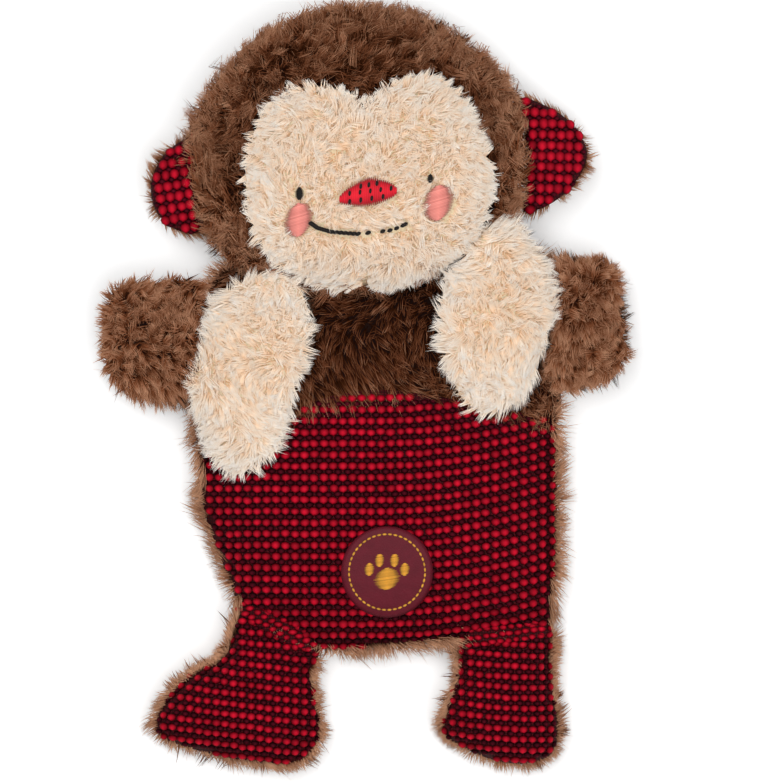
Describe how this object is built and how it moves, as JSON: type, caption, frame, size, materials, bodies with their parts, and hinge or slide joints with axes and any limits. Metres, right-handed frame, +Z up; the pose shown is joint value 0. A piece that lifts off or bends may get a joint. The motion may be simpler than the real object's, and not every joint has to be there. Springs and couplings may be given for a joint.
{
  "type": "plush dog toy",
  "caption": "Flat stuffed monkey dog toy with fur back and arms, woven belly and legs, fleece face and folded fleece paws.",
  "frame": {"origin": "on the floor, under the middle of the toy's box, with the toy lying on its back", "axes": "+Z up out of the belly and face, +Y from the legs to the head, +X to the right as the face is seen"},
  "size_m": [0.2228, 0.3188, 0.0604],
  "materials": {
    "brown_fur": "long curly brown fur pile",
    "cream_fleece": "long curly cream fleece pile",
    "woven_nub": "black ground with rows of raised red nubs",
    "badge_leather": "thin matt imitation leather",
    "yellow_thread": "satin stitched thread",
    "red_thread": "thick embroidery in rows",
    "black_thread": "satin stitched thread",
    "coral_thread": "satin stitched thread",
    "stuffing": "white polyester fibre fill",
    "squeaker": "soft moulded plastic"
  },
  "bodies": {
    "body": {"body_back": "brown_fur", "chest_front": "brown_fur", "belly_front": "woven_nub", "body_fill_back": "stuffing", "body_fill_front": "stuffing", "squeaker_bladder": "squeaker", "squeaker_reed": "squeaker", "badge": "badge_leather", "badge_stitch": "yellow_thread", "badge_print_pad": "yellow_thread", "badge_print_toe_1": "yellow_thread", "badge_print_toe_2": "yellow_thread", "badge_print_toe_3": "yellow_thread", "badge_print_toe_4": "yellow_thread"},
    "head": {"head_back": "brown_fur", "head_hood": "brown_fur", "face_panel": "cream_fleece", "head_fill": "stuffing", "nose": "red_thread", "mouth": "black_thread", "eye_left": "black_thread", "eye_right": "black_thread", "cheek_left": "coral_thread", "cheek_right": "coral_thread"},
    "ear_left": {"ear_front_left": "woven_nub", "ear_back_left": "brown_fur"},
    "upper_arm_left": {"upper_arm_left": "brown_fur"},
    "forearm_left": {"forearm_left": "brown_fur", "paw_left": "cream_fleece"},
    "leg_left": {"leg_front_left": "woven_nub", "leg_back_left": "brown_fur", "leg_fill_left": "stuffing"},
    "ear_right": {"ear_front_right": "woven_nub", "ear_back_right": "brown_fur"},
    "upper_arm_right": {"upper_arm_right": "brown_fur"},
    "forearm_right": {"forearm_right": "brown_fur", "paw_right": "cream_fleece"},
    "leg_right": {"leg_front_right": "woven_nub", "leg_back_right": "brown_fur", "leg_fill_right": "stuffing"}
  },
  "joints": [
    {"name": "neck", "type": "hinge", "parent": "body", "child": "head", "pos_m": [-0.0024, 0.05519, 0.012], "axis": [1, 0, 0], "range_deg": [-35, 0]},
    {"name": "ear_left_hinge", "type": "hinge", "parent": "head", "child": "ear_left", "pos_m": [-0.07275, 0.08731, 0.02], "axis": [0, 1, 0], "range_deg": [-50, 50]},
    {"name": "ear_right_hinge", "type": "hinge", "parent": "head", "child": "ear_right", "pos_m": [0.06795, 0.09745, 0.02], "axis": [0, -1, 0], "range_deg": [-50, 50]},
    {"name": "shoulder_left", "type": "hinge", "parent": "body", "child": "upper_arm_left", "pos_m": [-0.0712, 0.01961, 0.00675], "axis": [0, 1, 0], "range_deg": [-40, 0]},
    {"name": "shoulder_right", "type": "hinge", "parent": "body", "child": "upper_arm_right", "pos_m": [0.0824, 0.02722, 0.00675], "axis": [0, -1, 0], "range_deg": [-40, 0]},
    {"name": "elbow_left", "type": "hinge", "parent": "upper_arm_left", "child": "forearm_left", "pos_m": [-0.1114, 0.01961, 0.01365], "axis": [0, 1, 0], "range_deg": [-150, 0]},
    {"name": "elbow_right", "type": "hinge", "parent": "upper_arm_right", "child": "forearm_right", "pos_m": [0.1114, 0.02722, 0.01365], "axis": [0, -1, 0], "range_deg": [-150, 0]},
    {"name": "hip_left", "type": "hinge", "parent": "body", "child": "leg_left", "pos_m": [-0.03571, -0.10121, 0.01], "axis": [-0.8594, 0.5113, 0], "range_deg": [-15, 60]},
    {"name": "hip_right", "type": "hinge", "parent": "body", "child": "leg_right", "pos_m": [0.05915, -0.10452, 0.01], "axis": [-0.9841, -0.1774, 0], "range_deg": [-15, 60]}
  ]
}
